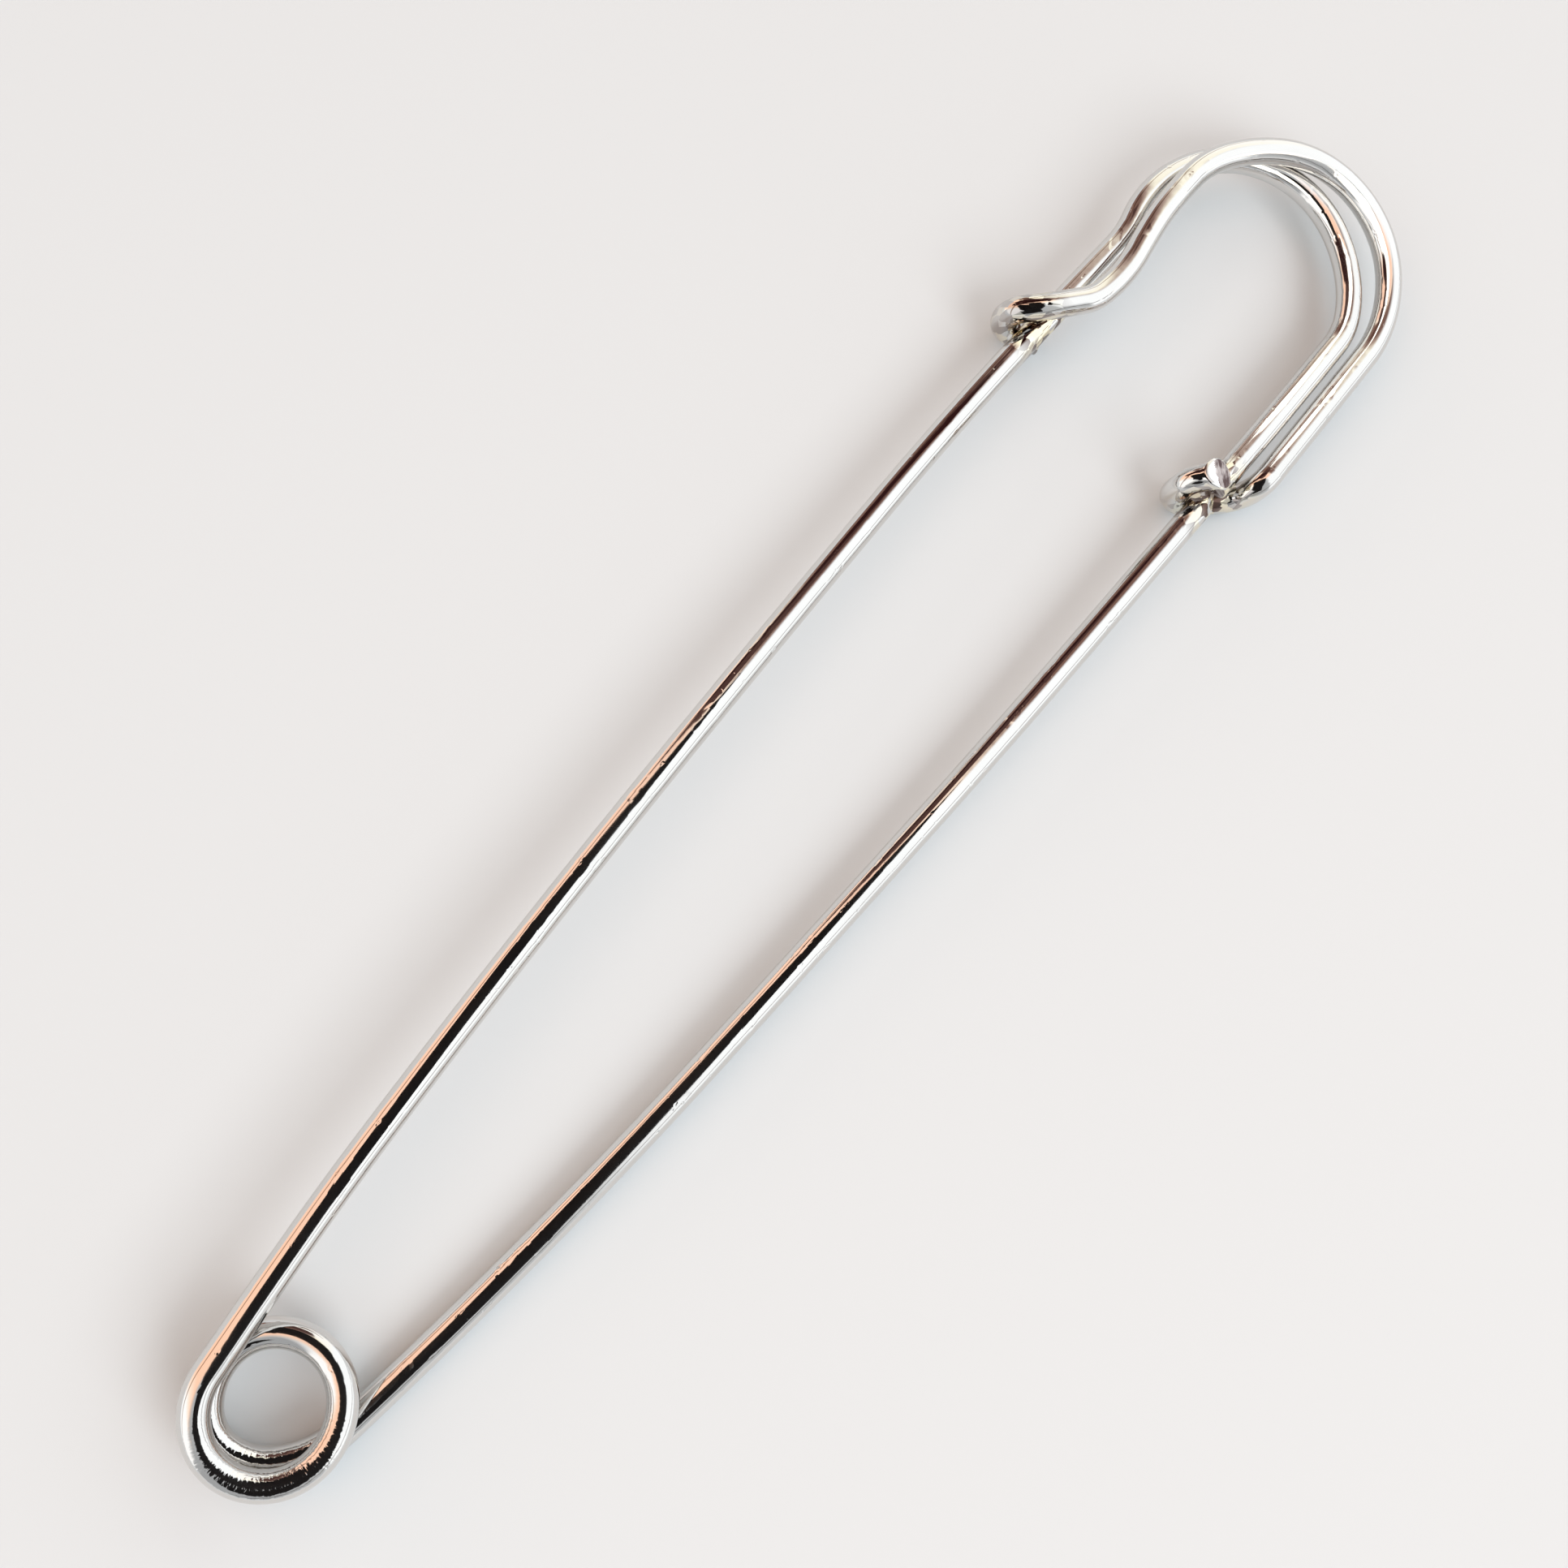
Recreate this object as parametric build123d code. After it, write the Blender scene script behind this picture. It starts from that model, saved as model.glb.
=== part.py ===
from build123d import *
import math
import os

# Kilt pin, closed and lying on its side. Millimetres, +Z up, the table at zero height.
# The origin is on the table under the middle of the spring coil, +X runs towards the head,
# and +Y from the pin arm towards the fixed arm.
# It is two lengths of the same round wire. The main wire is the pin arm with its ground point,
# the spring coil, the fixed arm and the inner bow of the head. The guard wire is wrapped round
# the fixed arm, crosses over it, makes the outer bow and ends as the catch hook round the point.

# Wire, and the air left between lengths of it
wire_diameter = 2.0
turn_gap = 0.66
seat_gap = 0.12

# Spring coil
coil_radius = 4.25
coil_stretch = 0.2
second_turn_inset = 0.7
coil_exit = 2.0

# Fixed arm: how far from the coil the guard wire is wrapped round it, and how far out it stands
wrap_reach = 91.75
arm_offset = 11.36

# Pin arm: how far its point stops short of the wrap, how far out it stands, its shank and point
point_setback = 1.45
pin_offset = 6.6
shank_setback = 4.7
shank_length = 9.0
point_length = 2.1
point_tip_width = 0.3

# Inner bow of the head: straight run to the shoulder, peak, far end, lower corner and strand
shoulder_run = 8.65
peak_run = 5.9
peak_rise = 0.89
bow_depth = 9.45
bow_middle_drop = 8.65
bow_low_setback = 3.5
bow_low_rise = 2.46
strand_setback = 8.75
point_clearance = 0.3

# Outer bow of the head: top beside the peak, crossing over the inner bow, far end and strand
outer_top_setback = 7.85
outer_top_drop = 1.65
crossing_setback = 0.85
crossing_drop = 3.35
outer_bow_gap = 0.2
outer_bow_lift = 1.1
outer_middle_drop = 2.8
strand_gap = 0.37
outer_strand_lead = 1.0

# Low bend of the guard wire beside the fixed arm
saddle_run = 5.25
saddle_drop = 1.96
saddle_length = 5.6
saddle_rise = 0.85

# Wrap round the fixed arm: its half turn leans back along the arm and ends underneath it
wrap_gap = 0.29
wrap_lean = 2.49
wrap_under_lean = 1.05
wrap_tail = 0.7
wrap_leg = 2.1

# Catch hook: where the outer strand turns down to it, its cut end, lip and leg under the point
hook_lead = 4.3
hook_strand_drop = 0.42
hook_end_aside = 0.47
hook_lip = 1.85
hook_under_leg = 2.2
hook_skew = 0.4

# Directions in plan, in degrees from +X, and slopes in degrees
arm_heading = 9.0
pin_heading = -5.5
pin_middle_heading = -1.0
pin_shank_heading = 0.6
pin_point_heading = 1.0
arm_first_heading = 6.0
arm_middle_heading = 3.7
wrap_heading = 145.6
wrap_side_heading = 30.0
wrap_side_slope = 85.0
wrap_under_heading = 118.0
saddle_heading = 9.5
bow_low_heading = -136.6
crossing_heading = -45.0
crossing_slope = -2.0
strand_heading = 182.0
hook_heading = 138.5
hook_lip_slope = 30.0
hook_cut_lean = 25.0
bow_fall_slope = -7.0

# Places along the arms, as shares of their reach and of how far they stand out from the coil
arm_first_share = 0.175
arm_first_out_share = 0.32
arm_middle_share = 0.572
arm_middle_out_share = 0.752
pin_middle_share = 0.374
pin_middle_out_share = 0.91

# Levels of the wire's axis: on the table, on one wire, and on two
wire_radius = wire_diameter / 2
low_level = wire_radius
middle_level = low_level + wire_diameter + seat_gap
top_level = middle_level + wire_diameter + seat_gap
turn_pitch = wire_diameter + turn_gap

# Places along the object, and out from the line through the coil's middle
pin_reach = wrap_reach - point_setback
shank_reach = pin_reach - shank_setback
shoulder_reach = wrap_reach + shoulder_run
peak_reach = shoulder_reach + peak_run
peak_offset = arm_offset + peak_rise
bow_reach = peak_reach + bow_depth
bow_middle_offset = peak_offset - bow_middle_drop
strand_start_reach = bow_reach - strand_setback
outer_bow_reach = bow_reach + wire_diameter + outer_bow_gap
outer_top_offset = peak_offset - outer_top_drop
saddle_reach = wrap_reach + saddle_run
saddle_offset = arm_offset - saddle_drop

quarter = 90.0
half = 180.0
full = 360.0
diagonal = quarter / 2
gap_floor = 0.4
straight_turn = 0.001
samples_per_wire = 8


def knot(x, y, z, heading, slope=0.0):
    """A place on a wire's axis, with the direction that the wire runs in there."""
    level = math.cos(math.radians(slope))
    run = Vector(
        level * math.cos(math.radians(heading)),
        level * math.sin(math.radians(heading)),
        math.sin(math.radians(slope)),
    )
    return Vector(x, y, z), run


def ahead(place, length):
    """The same wire a straight length further on."""
    return place[0] + place[1] * length, place[1]


def biarc(start, end):
    """Two arcs that leave one knot and reach the next in their stated directions."""
    (a, run_a), (b, run_b) = start, end
    chord = b - a
    both = run_a + run_b
    if chord.get_angle(run_a) < straight_turn and chord.get_angle(run_b) < straight_turn:
        return [Edge.make_line(a, b)]
    # Equal tangent lengths t solve |chord - t * both| = 2 * t.
    square = both.dot(both) - 4
    along = 2 * chord.dot(both)
    rest = chord.dot(chord)
    reach = 2 * rest / (along + math.sqrt(along * along - 4 * square * rest))
    leave = a + run_a * reach
    arrive = b - run_b * reach
    meet = (leave + arrive) / 2
    return [Edge.make_tangent_arc(a, run_a, meet), Edge.make_tangent_arc(meet, arrive - leave, b)]


def route(places):
    """The edges of a wire's axis through its knots, in order."""
    edges = []
    for start, end in zip(places, places[1:]):
        edges += biarc(start, end)
    return edges


def bend_wire(places, label):
    """Round wire swept along its knots."""
    path = Wire(route(places))
    section = Plane(origin=places[0][0], z_dir=places[0][1]) * Circle(wire_radius)
    body = sweep(section, path=path)
    body.label = label
    return body


# Knots of the main wire
coil_start_angle = quarter + arm_heading
coil_end_angle = full + 3 * quarter + pin_heading
coil_drop = turn_pitch * (coil_end_angle - coil_start_angle) / full
coil_top_level = low_level + coil_drop
arm_slope = math.degrees(math.atan2(middle_level - coil_top_level, wrap_reach))
pin_slope = math.degrees(math.atan2(middle_level - low_level, pin_reach))
helix_slope = math.degrees(math.atan2(-turn_pitch, 2 * math.pi * coil_radius))


def coil_knot(angle, slope, inset=0.0):
    """A knot on the coil at an angle of its winding, which falls steadily as it turns."""
    radius = coil_radius - inset
    level = coil_top_level - coil_drop * (angle - coil_start_angle) / (coil_end_angle - coil_start_angle)
    place = math.radians(angle)
    return knot(radius * math.cos(place), radius * math.sin(place), level, angle + quarter, slope)


def coil_knots():
    """The coil from the fixed arm round to the pin arm, by quarter turns, with straight ends."""
    first = coil_knot(coil_start_angle, -arm_slope)
    last = ahead(coil_knot(coil_end_angle, pin_slope), coil_exit)
    turns = [
        coil_knot(half + diagonal, helix_slope, -coil_stretch),
        coil_knot(full - diagonal, helix_slope),
        coil_knot(full + diagonal, helix_slope),
        coil_knot(full + half - diagonal, helix_slope, second_turn_inset / 2),
        coil_knot(full + half + diagonal, helix_slope, second_turn_inset),
    ]
    return [ahead(first, -wire_diameter), first, *turns, last, ahead(last, wire_diameter)]


def arm_level(x):
    """Height of the fixed arm's axis, which slopes from the coil's top down to the wrap."""
    return coil_top_level + (middle_level - coil_top_level) * x / wrap_reach


def pin_level(x):
    """Height of the pin arm's axis, which rises from the table to the hook."""
    return low_level + (middle_level - low_level) * x / pin_reach


def reversed_knot(place):
    """The same place, with the wire run the other way."""
    return place[0], place[1] * -1


def fixed_arm_knots():
    """From the coil to the place under the guard wire's wrap."""
    start = reversed_knot(coil_knots()[0])
    out = arm_offset - coil_radius
    first_x = arm_first_share * wrap_reach
    middle_x = arm_middle_share * wrap_reach
    first_y = coil_radius + arm_first_out_share * out
    middle_y = coil_radius + arm_middle_out_share * out
    return [
        start,
        knot(first_x, first_y, arm_level(first_x), arm_first_heading, arm_slope),
        knot(middle_x, middle_y, arm_level(middle_x), arm_middle_heading, arm_slope),
        knot(wrap_reach, arm_offset, middle_level, 0.0),
    ]


def strand_start_offset():
    """How far out the inner strand starts, to fall at its heading until it meets the pin's line."""
    run = strand_start_reach - pin_reach - point_clearance
    return -pin_offset + run * math.tan(math.radians(strand_heading - half)) / 2


def inner_bow_knots():
    """From the wrap over the shoulder, round the head and back to the pin's point."""
    strand_y = strand_start_offset()
    bow_low_x = bow_reach - bow_low_setback
    return [
        knot(wrap_reach, arm_offset, middle_level, 0.0),
        knot(shoulder_reach, arm_offset, middle_level, 0.0),
        knot(peak_reach, peak_offset, middle_level, 0.0),
        knot(bow_reach, bow_middle_offset, middle_level, -quarter),
        knot(bow_low_x, strand_y + bow_low_rise, middle_level, bow_low_heading),
        knot(strand_start_reach, strand_y, middle_level, strand_heading),
        knot(pin_reach + point_clearance, -pin_offset, middle_level, half),
    ]


def pin_arm_knots():
    """From the coil to where the straight shank starts."""
    start = coil_knots()[-1]
    out = pin_offset - coil_radius
    middle_x = pin_middle_share * pin_reach
    middle_y = -coil_radius - pin_middle_out_share * out
    middle = knot(middle_x, middle_y, pin_level(middle_x), pin_middle_heading, pin_slope)
    return [start, middle, ahead(shank_end_knot(), -shank_length)]


def shank_end_knot():
    """The end of the shank, short of the hook and in line with the point."""
    aside = (pin_reach - shank_reach) * math.tan(math.radians((pin_shank_heading + pin_point_heading) / 2))
    return knot(shank_reach, -pin_offset - aside, pin_level(shank_reach), pin_shank_heading, pin_slope)


def pin_tip_knot():
    """The very end of the ground point."""
    return knot(pin_reach, -pin_offset, middle_level, pin_point_heading, pin_slope)


def saddle_knots():
    """The guard wire's low bend beside the fixed arm, from the wrap's leg to the crossing."""
    leg_end = ahead(wrap_top_knot(), wrap_leg)
    return [
        leg_end,
        knot(saddle_reach, saddle_offset, top_level, 0.0),
        knot(saddle_reach + saddle_length, saddle_offset + saddle_rise, top_level, saddle_heading),
    ]


def outer_bow_knots():
    """From the saddle across the inner bow, round the head and along the outer strand."""
    crossing_x = bow_reach - crossing_setback
    crossing_y = outer_top_offset - crossing_drop
    far_y = bow_middle_offset - outer_middle_drop
    far_level = middle_level + outer_bow_lift
    return [
        *saddle_knots()[1:],
        knot(bow_reach - outer_top_setback, outer_top_offset, top_level, 0.0),
        knot(crossing_x, crossing_y, top_level, crossing_heading, crossing_slope),
        knot(outer_bow_reach, far_y, far_level, -quarter, bow_fall_slope),
        knot(strand_start_reach + outer_strand_lead, outer_strand_offset(), middle_level, strand_heading),
        strand_end_knot(),
    ]


def outer_strand_offset():
    """How far out the outer strand starts, beside the inner one."""
    return strand_start_offset() - wire_diameter - strand_gap


def strand_end_knot():
    """The end of the outer strand, where the hook begins."""
    end_y = outer_strand_offset() - hook_strand_drop
    return knot(pin_reach + hook_lead, end_y, middle_level, strand_heading)


def curl_radius():
    """A half turn that takes the wire from the table over a wire that it holds."""
    return (top_level - low_level) / 2


def wrap_top_knot():
    """The top of the wrap's half turn, over the fixed arm."""
    return knot(wrap_reach, arm_offset, top_level, wrap_heading + half)


def wrap_knots():
    """From the hidden end under the fixed arm, round its far side and back over it."""
    under_x = wrap_reach - wrap_under_lean
    under = knot(under_x, arm_offset, low_level, wrap_under_heading)
    side_x = wrap_reach - wrap_lean
    side_y = arm_offset + wire_diameter + wrap_gap
    side = knot(side_x, side_y, middle_level, wrap_side_heading, wrap_side_slope)
    return [ahead(under, -wrap_tail), under, side, wrap_top_knot(), *saddle_knots()[:2]]


def hook_knots():
    """From the outer strand down under the point, up its far side and back over it.

    The curl stops short of a half turn, so the straight lip still rises to its cut end. It
    leans a little, so the leg underneath stands aside from the lip.
    """
    rise = curl_radius() * math.cos(math.radians(hook_lip_slope))
    past = curl_radius() * math.sin(math.radians(hook_lip_slope))
    lip_level = middle_level + rise
    end_level = lip_level + hook_lip * math.sin(math.radians(hook_lip_slope))
    end_y = -pin_offset + hook_end_aside
    end = knot(pin_reach, end_y, end_level, hook_heading + half, hook_lip_slope)
    lip_start = ahead(end, -hook_lip)
    out = knot(0, 0, 0, hook_heading)[1]
    aside = knot(0, 0, 0, hook_heading + quarter)[1] * hook_skew
    middle = lip_start[0] - out * past
    middle.Z = middle_level
    side = (middle + out * curl_radius() + aside / 2, Vector(0, 0, 1))
    low = (middle - Vector(0, 0, curl_radius()) + aside, out)
    return [strand_end_knot(), ahead(low, -hook_under_leg), low, side, lip_start, end]


# Pieces

def coil_spring():
    return bend_wire(coil_knots(), "coil_spring")


def fixed_arm():
    return bend_wire(fixed_arm_knots(), "fixed_arm")


def inner_bow():
    return bend_wire(inner_bow_knots(), "inner_bow")


def outer_bow():
    return bend_wire(outer_bow_knots(), "outer_bow")


def guard_wrap():
    return bend_wire(wrap_knots(), "guard_wrap")


def catch_hook():
    """The hook, with its end sheared off at a lean."""
    places = hook_knots()
    body = bend_wire([*places, ahead(places[-1], wire_diameter)], "catch_hook")
    end, run = places[-1]
    across = Vector(0, 0, 1).cross(run)
    cut = Plane(origin=end, x_dir=across, z_dir=run.rotate(Axis((0, 0, 0), across), -hook_cut_lean))
    body = split(body, cut, keep=Keep.BOTTOM)
    body.label = "catch_hook"
    return body


def pin_arm():
    """The bowed arm, its straight shank and the four-sided ground point."""
    places = pin_arm_knots()
    start, run = places[-1]
    bowed = bend_wire(places, "pin_arm")
    shank = extrude(Plane(origin=start, z_dir=run) * Circle(wire_radius), shank_length)
    tip = pin_tip_knot()
    shoulder = ahead(tip, -point_length)
    neck = bend_wire([shank_end_knot(), shoulder], "pin_arm")
    base = Plane(origin=shoulder[0], z_dir=shoulder[1])
    end = Plane(origin=tip[0], z_dir=tip[1])
    wide = base * Rectangle(wire_diameter, wire_diameter, rotation=diagonal)
    narrow = end * Rectangle(point_tip_width, point_tip_width, rotation=diagonal)
    point = extrude(base * Circle(wire_radius), point_length) & loft([wide, narrow])
    body = bowed + shank + neck + point
    body.label = "pin_arm"
    return body


def axis_points(edges, step):
    """Places along a wire's axis at a steady step."""
    points = []
    for edge in edges:
        count = max(2, round(edge.length / step))
        points += [edge.position_at(k / count) for k in range(count)]
    return points


def least_turn_gap():
    """The least air between the coil's turns, measured over points more than half a turn apart."""
    step = wire_diameter / samples_per_wire
    points = axis_points(route(coil_knots()), step)
    apart = round(math.pi * coil_radius / step)
    least = min(
        (points[j] - points[i]).length
        for i in range(len(points))
        for j in range(i + apart, len(points))
    )
    return least - wire_diameter


os.makedirs("parts", exist_ok=True)
pieces = [
    pin_arm(),
    coil_spring(),
    fixed_arm(),
    inner_bow(),
    outer_bow(),
    guard_wrap(),
    catch_hook(),
]
for piece in pieces:
    export_step(piece, os.path.join("parts", piece.label + ".step"))

print("least gap between the coil's turns:", round(least_turn_gap(), 3), "wanted over", gap_floor)
print("levels:", round(low_level, 3), round(middle_level, 3), round(top_level, 3), round(coil_top_level, 3))
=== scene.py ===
import bpy
import math
import numpy as np
from mathutils import Matrix, Vector


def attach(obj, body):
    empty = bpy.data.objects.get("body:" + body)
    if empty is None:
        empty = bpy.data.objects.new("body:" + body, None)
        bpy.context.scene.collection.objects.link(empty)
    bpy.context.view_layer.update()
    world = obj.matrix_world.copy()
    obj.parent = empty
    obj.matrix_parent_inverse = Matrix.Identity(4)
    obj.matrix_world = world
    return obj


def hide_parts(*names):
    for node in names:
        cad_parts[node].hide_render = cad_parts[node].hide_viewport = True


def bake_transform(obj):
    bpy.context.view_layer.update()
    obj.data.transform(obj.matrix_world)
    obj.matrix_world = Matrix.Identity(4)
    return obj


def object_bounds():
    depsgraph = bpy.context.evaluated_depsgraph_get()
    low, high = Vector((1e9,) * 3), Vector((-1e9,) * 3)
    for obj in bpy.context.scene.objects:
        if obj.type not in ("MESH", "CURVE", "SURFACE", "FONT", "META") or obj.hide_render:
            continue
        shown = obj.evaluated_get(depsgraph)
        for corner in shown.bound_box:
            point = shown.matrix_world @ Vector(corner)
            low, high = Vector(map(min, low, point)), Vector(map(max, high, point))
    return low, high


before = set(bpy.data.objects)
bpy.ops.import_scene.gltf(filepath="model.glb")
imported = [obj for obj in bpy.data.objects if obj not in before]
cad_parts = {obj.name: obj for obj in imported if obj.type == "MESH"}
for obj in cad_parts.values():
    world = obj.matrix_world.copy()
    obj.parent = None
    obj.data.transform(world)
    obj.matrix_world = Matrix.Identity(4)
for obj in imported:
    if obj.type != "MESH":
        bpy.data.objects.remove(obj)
cad_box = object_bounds()
mm = 0.001

# Table, light and camera
# The pin lies closed on a pale table, in a soft tent that is white on the pin arm's side and past
# the head, and peach on the other side. A black, a brown and a dark red card and a soft box hang
# over the table for the wire to mirror, and a broad lamp gives the soft shadows.
table_radius = 3.0
table_sides = 96
table_colour = (0.625, 0.66, 0.68, 1.0)
sheet_roughness = 0.9
sheet_shine = 0.1
lamp_distance = 0.9
lamp_width = 0.55
lamp_rise = 44.0
lamp_heading = -104.0
lamp_power = 4.0
tent_strength = 1.42
white = (1.0, 1.0, 1.0)
warm_wall_colours = [
    (-0.62, white), (-0.48, (1.00, 0.80, 0.66)), (-0.30, (1.00, 0.63, 0.45)),
    (0.24, (1.00, 0.66, 0.50)), (0.30, (0.92, 0.76, 0.62)), (0.34, (0.20, 0.11, 0.085)),
    (0.50, (0.17, 0.095, 0.075)), (0.57, (0.42, 0.31, 0.26)), (0.62, (1.00, 0.96, 0.80)),
    (0.80, (1.00, 0.99, 0.95)),
]
cool_wall_colours = [
    (-0.60, (0.34, 0.35, 0.36)), (-0.08, (0.45, 0.465, 0.475)), (0.03, (0.97, 1.0, 1.02)),
    (1.0, (0.97, 1.0, 1.02)),
]
wall_meeting = (math.radians(-8), math.radians(14))
cool_seam_colour = (0.22, 0.20, 0.20)
warm_seam_colour = (0.3, 0.22, 0.18)
seam_colours = [
    (-65, white), (-63, cool_seam_colour), (-61, cool_seam_colour), (-59, white),
    (54, white), (57, warm_seam_colour), (60, warm_seam_colour), (63, white),
]
tent_foot = (0.08, 0.20)
tent_foot_colour = (0.60, 0.62, 0.635)
card_height = 118.0 * mm
black_card_colour = (0.010, 0.0085, 0.009, 1.0)
black_card_outline = [
    (-130, -125), (1, -138), (40, -56), (81, -20), (96, 12), (84, 45), (62, 110), (40, 135),
    (20, 100), (1, 64), (-18, 48), (-20, -24), (-75, -32), (-130, -50),
]
brown_card_colour = (0.12, 0.058, 0.05, 1.0)
brown_card_outline = [(87, 60), (105, 46), (140, 56), (185, 78), (185, 230), (87, 230)]
red_card_height = 40.0 * mm
red_card_colour = (0.040, 0.008, 0.008, 1.0)
red_card_outline = [
    (110, 22), (102, 18), (92, 32), (82, 42), (72, 60), (66, 110), (84, 110), (92, 84), (104, 58),
    (108, 40),
]
soft_box_height = 12.0 * mm
soft_box_colour = (1.0, 0.98, 0.92, 1.0)
soft_box_outline = [
    (102, 1), (102, -4), (105, -5.5), (110, -5), (113, -2.5), (117, -1.5), (114, 2), (111, 2.5),
    (108, 6), (106, 8), (105, 3),
]
view_angle = 49.62
eye = Vector((19.35 * mm, 2.40 * mm, 115.70 * mm))
eye_right = Vector((0.64809, -0.73963, 0.18146))
eye_up = Vector((0.71224, 0.67301, 0.19943))
nearest_seen = 2 * mm
farthest_seen = 20.0


class NodeWork:
    """Makes and joins the nodes of one material, or of the world."""

    def __init__(self, owner):
        owner.use_nodes = True
        owner.node_tree.nodes.clear()
        self.new = owner.node_tree.nodes.new
        self.link = owner.node_tree.links.new

    def ranged(self, value, low, high, first=0.0, last=1.0, smooth=False):
        """The share of the way that a value is from low to high, between first and last."""
        span = self.new("ShaderNodeMapRange")
        span.interpolation_type = "SMOOTHSTEP" if smooth else "LINEAR"
        ends = (("From Min", low), ("From Max", high), ("To Min", first), ("To Max", last))
        for end, number in ends:
            span.inputs[end].default_value = number
        self.link(value, span.inputs["Value"])
        return span.outputs[0]

    def mixed(self, factor, first, second, way="MIX"):
        """Two colours mixed, each one a node's output or three numbers."""
        mix = self.new("ShaderNodeMix")
        mix.data_type = "RGBA"
        mix.blend_type = way
        if factor is None:
            mix.inputs["Factor"].default_value = 1.0
        else:
            self.link(factor, mix.inputs["Factor"])
        for colour, socket in ((first, mix.inputs["A"]), (second, mix.inputs["B"])):
            if isinstance(colour, tuple):
                socket.default_value = (*colour, 1.0)
            else:
                self.link(colour, socket)
        return mix.outputs["Result"]

    def ramp(self, value, stops):
        """A colour that changes with the value, through colours at places from 0 to 1."""
        colours = self.new("ShaderNodeValToRGB")
        elements = colours.color_ramp.elements
        while len(elements) > 1:
            elements.remove(elements[-1])
        for k, (place, colour) in enumerate(stops):
            stop = elements[0] if k == 0 else elements.new(place)
            stop.position = place
            stop.color = (*colour, 1.0)
        self.link(value, colours.inputs[0])
        return colours.outputs[0]


def light_tent():
    """The tent: one wall on each side of the pin's length, with two seams along it.

    Each wall's colour changes along the pin, by the direction's part along X. The angle round X
    picks the wall and places the seams, and near the table the tent is plain and pale.
    """
    world = bpy.data.worlds.new("light_tent")
    work = NodeWork(world)
    direction = work.new("ShaderNodeTexCoord")
    parts = work.new("ShaderNodeSeparateXYZ")
    work.link(direction.outputs["Generated"], parts.inputs[0])
    turn = work.new("ShaderNodeMath")
    turn.operation = "ARCTAN2"
    work.link(parts.outputs["Y"], turn.inputs[0])
    work.link(parts.outputs["Z"], turn.inputs[1])
    along = work.ranged(parts.outputs["X"], -1.0, 1.0)
    round_x = work.ranged(turn.outputs[0], -math.pi, math.pi)
    warm_wall = work.ramp(along, [((x + 1.0) / 2.0, c) for x, c in warm_wall_colours])
    cool_wall = work.ramp(along, [((x + 1.0) / 2.0, c) for x, c in cool_wall_colours])
    side = work.ranged(turn.outputs[0], *wall_meeting, smooth=True)
    walls = work.mixed(side, cool_wall, warm_wall)
    seams = work.ramp(round_x, [((angle + 180.0) / 360.0, c) for angle, c in seam_colours])
    sewn = work.mixed(None, walls, seams, "MULTIPLY")
    above_foot = work.ranged(parts.outputs["Z"], *tent_foot, smooth=True)
    whole = work.mixed(above_foot, tent_foot_colour, sewn)
    background = work.new("ShaderNodeBackground")
    background.inputs["Strength"].default_value = tent_strength
    work.link(whole, background.inputs["Color"])
    output = work.new("ShaderNodeOutputWorld")
    work.link(background.outputs[0], output.inputs["Surface"])
    bpy.context.scene.world = world


def plain_sheet(name, outline, colour, glow=0.0):
    """One flat face through the points of an outline, in one dull colour that can glow."""
    mesh = bpy.data.meshes.new(name)
    mesh.from_pydata(outline.tolist(), [], [list(range(len(outline)))])
    material = bpy.data.materials.new(name)
    work = NodeWork(material)
    shader = work.new("ShaderNodeBsdfPrincipled")
    shader.inputs["Base Color"].default_value = colour
    shader.inputs["Roughness"].default_value = sheet_roughness
    shader.inputs["Specular IOR Level"].default_value = sheet_shine
    shader.inputs["Emission Color"].default_value = colour
    shader.inputs["Emission Strength"].default_value = glow
    output = work.new("ShaderNodeOutputMaterial")
    work.link(shader.outputs[0], output.inputs["Surface"])
    mesh.materials.append(material)
    sheet = bpy.data.objects.new(name, mesh)
    bpy.context.collection.objects.link(sheet)
    return sheet


def pale_table():
    """A wide flat disc under the pin."""
    turn = np.linspace(0.0, 2.0 * math.pi, table_sides, endpoint=False)
    rim = np.stack([np.cos(turn), np.sin(turn), 0.0 * turn], axis=1) * table_radius
    plain_sheet("pale_table", rim, table_colour)


def hung_card(name, outline, colour, height, glow=0.0):
    """A card over the table, which only the bright wire shows. glow is how strongly it shines."""
    flat = np.array(outline) * mm
    corners = np.column_stack([flat, np.full(len(flat), height)])
    card = plain_sheet(name, corners, colour, glow)
    card.visible_camera = False
    card.visible_diffuse = False
    card.visible_shadow = False


def broad_lamp():
    """A square soft lamp that looks at the middle of the pin from above its pin arm's side."""
    aim = Vector(((cad_box[0][0] + cad_box[1][0]) / 2, 0.0, 0.0))
    rise = math.radians(lamp_rise)
    heading = math.radians(lamp_heading)
    level = math.cos(rise)
    away = Vector((level * math.cos(heading), level * math.sin(heading), math.sin(rise)))
    light = bpy.data.lights.new("broad_lamp", "AREA")
    light.shape = "SQUARE"
    light.size = lamp_width
    light.energy = lamp_power
    lamp = bpy.data.objects.new("broad_lamp", light)
    lamp.location = aim + away * lamp_distance
    lamp.rotation_euler = away.to_track_quat("Z", "Y").to_euler()
    lamp.visible_glossy = False
    bpy.context.collection.objects.link(lamp)


def near_camera():
    """The camera above the coil, leaning along the pin towards the head."""
    camera = bpy.data.cameras.new("near_camera")
    camera.sensor_fit = "HORIZONTAL"
    camera.angle = math.radians(view_angle)
    camera.clip_start = nearest_seen
    camera.clip_end = farthest_seen
    holder = bpy.data.objects.new("near_camera", camera)
    backward = eye_right.cross(eye_up)
    turn = Matrix((eye_right, eye_up, backward)).transposed().to_4x4()
    holder.matrix_world = Matrix.Translation(eye) @ turn
    bpy.context.collection.objects.link(holder)
    bpy.context.scene.camera = holder


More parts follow.
